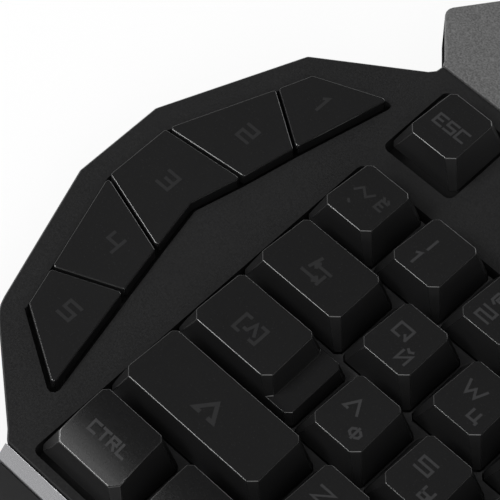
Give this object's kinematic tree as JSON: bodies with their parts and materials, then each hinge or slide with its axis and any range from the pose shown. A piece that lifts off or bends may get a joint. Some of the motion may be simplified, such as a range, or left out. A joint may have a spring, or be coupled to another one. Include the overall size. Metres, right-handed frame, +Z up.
{
  "type": "gaming keyboard",
  "caption": "Full-size wired keyboard with an arc of large macro keys down its left side, a grey rear panel, a silver front trim and a palm rest.",
  "frame": {"origin": "middle of the footprint, on the desk that the rubber pads stand on", "axes": "+X along the rows of keys towards the number pad, +Y towards the rear edge, +Z up from the desk"},
  "size_m": [0.486, 0.2214, 0.0367],
  "materials": {
    "shell_black": "fine matte grain",
    "keycap_black": "satin, slightly smoother than the case",
    "hood_grey": "satin grey paint",
    "trim_silver": "bright silver paint",
    "rubber_dark": "matte",
    "silicone_pale": "translucent pale silicone",
    "circuit_film": "clear film with printed tracks",
    "backing_steel": "plain sheet",
    "board_green": "solder mask",
    "lens_smoke": "smoked clear plastic"
  },
  "bodies": {
    "case": {"top_case": "shell_black", "bottom_case": "shell_black", "hood_panel": "hood_grey", "lock_light_lens": "lens_smoke", "front_trim": "trim_silver", "wrist_rest": "shell_black", "guide_plate": "keycap_black", "dome_mat": "silicone_pale", "membrane": "circuit_film", "backing_plate": "backing_steel", "controller_board": "board_green", "cable_bush": "rubber_dark", "rubber_pad_front_left": "rubber_dark", "rubber_pad_front_right": "rubber_dark", "rubber_pad_rear_left": "rubber_dark", "rubber_pad_rear_right": "rubber_dark"},
    "foot_left": {"flip_foot_left": "shell_black"},
    "foot_right": {"flip_foot_right": "shell_black"},
    "button_esc": {"key_esc": "keycap_black"},
    "button_grave": {"key_grave": "keycap_black"},
    "button_1": {"key_1": "keycap_black"},
    "button_2": {"key_2": "keycap_black"},
    "button_3": {"key_3": "keycap_black"},
    "button_4": {"key_4": "keycap_black"},
    "button_tab": {"key_tab": "keycap_black"},
    "button_q": {"key_q": "keycap_black"},
    "button_w": {"key_w": "keycap_black"},
    "button_e": {"key_e": "keycap_black"},
    "button_r": {"key_r": "keycap_black"},
    "button_caps_lock": {"key_caps_lock": "keycap_black"},
    "button_a": {"key_a": "keycap_black"},
    "button_s": {"key_s": "keycap_black"},
    "button_d": {"key_d": "keycap_black"},
    "button_f": {"key_f": "keycap_black"},
    "button_shift_left": {"key_shift_left": "keycap_black"},
    "button_z": {"key_z": "keycap_black"},
    "button_x": {"key_x": "keycap_black"},
    "button_c": {"key_c": "keycap_black"},
    "button_v": {"key_v": "keycap_black"},
    "button_ctrl_left": {"key_ctrl_left": "keycap_black"},
    "button_meta_left": {"key_meta_left": "keycap_black"},
    "button_alt_left": {"key_alt_left": "keycap_black"},
    "button_space": {"key_space": "keycap_black"},
    "button_alt_right": {"key_alt_right": "keycap_black"},
    "button_ctrl_right": {"key_ctrl_right": "keycap_black"},
    "button_shift_right": {"key_shift_right": "keycap_black"},
    "button_enter": {"key_enter": "keycap_black"},
    "button_backspace": {"key_backspace": "keycap_black"},
    "button_up": {"key_up": "keycap_black"},
    "button_down": {"key_down": "keycap_black"},
    "button_left": {"key_left": "keycap_black"},
    "button_right": {"key_right": "keycap_black"},
    "button_pad_0": {"key_pad_0": "keycap_black"},
    "button_pad_plus": {"key_pad_plus": "keycap_black"},
    "button_pad_enter": {"key_pad_enter": "keycap_black"},
    "button_macro_1": {"key_macro_1": "keycap_black"},
    "button_macro_2": {"key_macro_2": "keycap_black"},
    "button_macro_3": {"key_macro_3": "keycap_black"},
    "button_macro_4": {"key_macro_4": "keycap_black"},
    "button_macro_5": {"key_macro_5": "keycap_black"}
  },
  "joints": [
    {"name": "foot_left_fold", "type": "hinge", "parent": "case", "child": "foot_left", "pos_m": [-0.17092, 0.0966, 0.0033], "axis": [1, 0, 0], "range_deg": [0, 90]},
    {"name": "foot_right_fold", "type": "hinge", "parent": "case", "child": "foot_right", "pos_m": [0.1977, 0.0966, 0.0033], "axis": [1, 0, 0], "range_deg": [0, 90]},
    {"name": "press_esc", "type": "slide", "parent": "case", "child": "button_esc", "axis": [0, 0.0698, -0.9976], "range_m": [0, 0.0036], "stiffness_N_per_m": 80, "springref_m": -0.004, "deforming": ["dome_mat"]},
    {"name": "press_grave", "type": "slide", "parent": "case", "child": "button_grave", "axis": [0, 0.0698, -0.9976], "range_m": [0, 0.0036], "stiffness_N_per_m": 80, "springref_m": -0.004, "deforming": ["dome_mat"]},
    {"name": "press_1", "type": "slide", "parent": "case", "child": "button_1", "axis": [0, 0.0698, -0.9976], "range_m": [0, 0.0036], "stiffness_N_per_m": 80, "springref_m": -0.004, "deforming": ["dome_mat"]},
    {"name": "press_2", "type": "slide", "parent": "case", "child": "button_2", "axis": [0, 0.0698, -0.9976], "range_m": [0, 0.0036], "stiffness_N_per_m": 80, "springref_m": -0.004, "deforming": ["dome_mat"]},
    {"name": "press_3", "type": "slide", "parent": "case", "child": "button_3", "axis": [0, 0.0698, -0.9976], "range_m": [0, 0.0036], "stiffness_N_per_m": 80, "springref_m": -0.004, "deforming": ["dome_mat"]},
    {"name": "press_4", "type": "slide", "parent": "case", "child": "button_4", "axis": [0, 0.0698, -0.9976], "range_m": [0, 0.0036], "stiffness_N_per_m": 80, "springref_m": -0.004, "deforming": ["dome_mat"]},
    {"name": "press_tab", "type": "slide", "parent": "case", "child": "button_tab", "axis": [0, 0.0698, -0.9976], "range_m": [0, 0.0036], "stiffness_N_per_m": 80, "springref_m": -0.004, "deforming": ["dome_mat"]},
    {"name": "press_q", "type": "slide", "parent": "case", "child": "button_q", "axis": [0, 0.0698, -0.9976], "range_m": [0, 0.0036], "stiffness_N_per_m": 80, "springref_m": -0.004, "deforming": ["dome_mat"]},
    {"name": "press_w", "type": "slide", "parent": "case", "child": "button_w", "axis": [0, 0.0698, -0.9976], "range_m": [0, 0.0036], "stiffness_N_per_m": 80, "springref_m": -0.004, "deforming": ["dome_mat"]},
    {"name": "press_e", "type": "slide", "parent": "case", "child": "button_e", "axis": [0, 0.0698, -0.9976], "range_m": [0, 0.0036], "stiffness_N_per_m": 80, "springref_m": -0.004, "deforming": ["dome_mat"]},
    {"name": "press_r", "type": "slide", "parent": "case", "child": "button_r", "axis": [0, 0.0698, -0.9976], "range_m": [0, 0.0036], "stiffness_N_per_m": 80, "springref_m": -0.004, "deforming": ["dome_mat"]},
    {"name": "press_caps_lock", "type": "slide", "parent": "case", "child": "button_caps_lock", "axis": [0, 0.0698, -0.9976], "range_m": [0, 0.0036], "stiffness_N_per_m": 80, "springref_m": -0.004, "deforming": ["dome_mat"]},
    {"name": "press_a", "type": "slide", "parent": "case", "child": "button_a", "axis": [0, 0.0698, -0.9976], "range_m": [0, 0.0036], "stiffness_N_per_m": 80, "springref_m": -0.004, "deforming": ["dome_mat"]},
    {"name": "press_s", "type": "slide", "parent": "case", "child": "button_s", "axis": [0, 0.0698, -0.9976], "range_m": [0, 0.0036], "stiffness_N_per_m": 80, "springref_m": -0.004, "deforming": ["dome_mat"]},
    {"name": "press_d", "type": "slide", "parent": "case", "child": "button_d", "axis": [0, 0.0698, -0.9976], "range_m": [0, 0.0036], "stiffness_N_per_m": 80, "springref_m": -0.004, "deforming": ["dome_mat"]},
    {"name": "press_f", "type": "slide", "parent": "case", "child": "button_f", "axis": [0, 0.0698, -0.9976], "range_m": [0, 0.0036], "stiffness_N_per_m": 80, "springref_m": -0.004, "deforming": ["dome_mat"]},
    {"name": "press_shift_left", "type": "slide", "parent": "case", "child": "button_shift_left", "axis": [0, 0.0698, -0.9976], "range_m": [0, 0.0036], "stiffness_N_per_m": 80, "springref_m": -0.004, "deforming": ["dome_mat"]},
    {"name": "press_z", "type": "slide", "parent": "case", "child": "button_z", "axis": [0, 0.0698, -0.9976], "range_m": [0, 0.0036], "stiffness_N_per_m": 80, "springref_m": -0.004, "deforming": ["dome_mat"]},
    {"name": "press_x", "type": "slide", "parent": "case", "child": "button_x", "axis": [0, 0.0698, -0.9976], "range_m": [0, 0.0036], "stiffness_N_per_m": 80, "springref_m": -0.004, "deforming": ["dome_mat"]},
    {"name": "press_c", "type": "slide", "parent": "case", "child": "button_c", "axis": [0, 0.0698, -0.9976], "range_m": [0, 0.0036], "stiffness_N_per_m": 80, "springref_m": -0.004, "deforming": ["dome_mat"]},
    {"name": "press_v", "type": "slide", "parent": "case", "child": "button_v", "axis": [0, 0.0698, -0.9976], "range_m": [0, 0.0036], "stiffness_N_per_m": 80, "springref_m": -0.004, "deforming": ["dome_mat"]},
    {"name": "press_ctrl_left", "type": "slide", "parent": "case", "child": "button_ctrl_left", "axis": [0, 0.0698, -0.9976], "range_m": [0, 0.0036], "stiffness_N_per_m": 80, "springref_m": -0.004, "deforming": ["dome_mat"]},
    {"name": "press_meta_left", "type": "slide", "parent": "case", "child": "button_meta_left", "axis": [0, 0.0698, -0.9976], "range_m": [0, 0.0036], "stiffness_N_per_m": 80, "springref_m": -0.004, "deforming": ["dome_mat"]},
    {"name": "press_alt_left", "type": "slide", "parent": "case", "child": "button_alt_left", "axis": [0, 0.0698, -0.9976], "range_m": [0, 0.0036], "stiffness_N_per_m": 80, "springref_m": -0.004, "deforming": ["dome_mat"]},
    {"name": "press_space", "type": "slide", "parent": "case", "child": "button_space", "axis": [0, 0.0698, -0.9976], "range_m": [0, 0.0036], "stiffness_N_per_m": 80, "springref_m": -0.004, "deforming": ["dome_mat"]},
    {"name": "press_alt_right", "type": "slide", "parent": "case", "child": "button_alt_right", "axis": [0, 0.0698, -0.9976], "range_m": [0, 0.0036], "stiffness_N_per_m": 80, "springref_m": -0.004, "deforming": ["dome_mat"]},
    {"name": "press_ctrl_right", "type": "slide", "parent": "case", "child": "button_ctrl_right", "axis": [0, 0.0698, -0.9976], "range_m": [0, 0.0036], "stiffness_N_per_m": 80, "springref_m": -0.004, "deforming": ["dome_mat"]},
    {"name": "press_shift_right", "type": "slide", "parent": "case", "child": "button_shift_right", "axis": [0, 0.0698, -0.9976], "range_m": [0, 0.0036], "stiffness_N_per_m": 80, "springref_m": -0.004, "deforming": ["dome_mat"]},
    {"name": "press_enter", "type": "slide", "parent": "case", "child": "button_enter", "axis": [0, 0.0698, -0.9976], "range_m": [0, 0.0036], "stiffness_N_per_m": 80, "springref_m": -0.004, "deforming": ["dome_mat"]},
    {"name": "press_backspace", "type": "slide", "parent": "case", "child": "button_backspace", "axis": [0, 0.0698, -0.9976], "range_m": [0, 0.0036], "stiffness_N_per_m": 80, "springref_m": -0.004, "deforming": ["dome_mat"]},
    {"name": "press_up", "type": "slide", "parent": "case", "child": "button_up", "axis": [0, 0.0698, -0.9976], "range_m": [0, 0.0036], "stiffness_N_per_m": 80, "springref_m": -0.004, "deforming": ["dome_mat"]},
    {"name": "press_down", "type": "slide", "parent": "case", "child": "button_down", "axis": [0, 0.0698, -0.9976], "range_m": [0, 0.0036], "stiffness_N_per_m": 80, "springref_m": -0.004, "deforming": ["dome_mat"]},
    {"name": "press_left", "type": "slide", "parent": "case", "child": "button_left", "axis": [0, 0.0698, -0.9976], "range_m": [0, 0.0036], "stiffness_N_per_m": 80, "springref_m": -0.004, "deforming": ["dome_mat"]},
    {"name": "press_right", "type": "slide", "parent": "case", "child": "button_right", "axis": [0, 0.0698, -0.9976], "range_m": [0, 0.0036], "stiffness_N_per_m": 80, "springref_m": -0.004, "deforming": ["dome_mat"]},
    {"name": "press_pad_0", "type": "slide", "parent": "case", "child": "button_pad_0", "axis": [0, 0.0698, -0.9976], "range_m": [0, 0.0036], "stiffness_N_per_m": 80, "springref_m": -0.004, "deforming": ["dome_mat"]},
    {"name": "press_pad_plus", "type": "slide", "parent": "case", "child": "button_pad_plus", "axis": [0, 0.0698, -0.9976], "range_m": [0, 0.0036], "stiffness_N_per_m": 80, "springref_m": -0.004, "deforming": ["dome_mat"]},
    {"name": "press_pad_enter", "type": "slide", "parent": "case", "child": "button_pad_enter", "axis": [0, 0.0698, -0.9976], "range_m": [0, 0.0036], "stiffness_N_per_m": 80, "springref_m": -0.004, "deforming": ["dome_mat"]},
    {"name": "press_macro_1", "type": "slide", "parent": "case", "child": "button_macro_1", "axis": [0, 0.0698, -0.9976], "range_m": [0, 0.0025], "stiffness_N_per_m": 80, "springref_m": -0.004, "deforming": ["dome_mat"]},
    {"name": "press_macro_2", "type": "slide", "parent": "case", "child": "button_macro_2", "axis": [0, 0.0698, -0.9976], "range_m": [0, 0.0025], "stiffness_N_per_m": 80, "springref_m": -0.004, "deforming": ["dome_mat"]},
    {"name": "press_macro_3", "type": "slide", "parent": "case", "child": "button_macro_3", "axis": [0, 0.0698, -0.9976], "range_m": [0, 0.0025], "stiffness_N_per_m": 80, "springref_m": -0.004, "deforming": ["dome_mat"]},
    {"name": "press_macro_4", "type": "slide", "parent": "case", "child": "button_macro_4", "axis": [0, 0.0698, -0.9976], "range_m": [0, 0.0025], "stiffness_N_per_m": 80, "springref_m": -0.004, "deforming": ["dome_mat"]},
    {"name": "press_macro_5", "type": "slide", "parent": "case", "child": "button_macro_5", "axis": [0, 0.0698, -0.9976], "range_m": [0, 0.0025], "stiffness_N_per_m": 80, "springref_m": -0.004, "deforming": ["dome_mat"]}
  ]
}
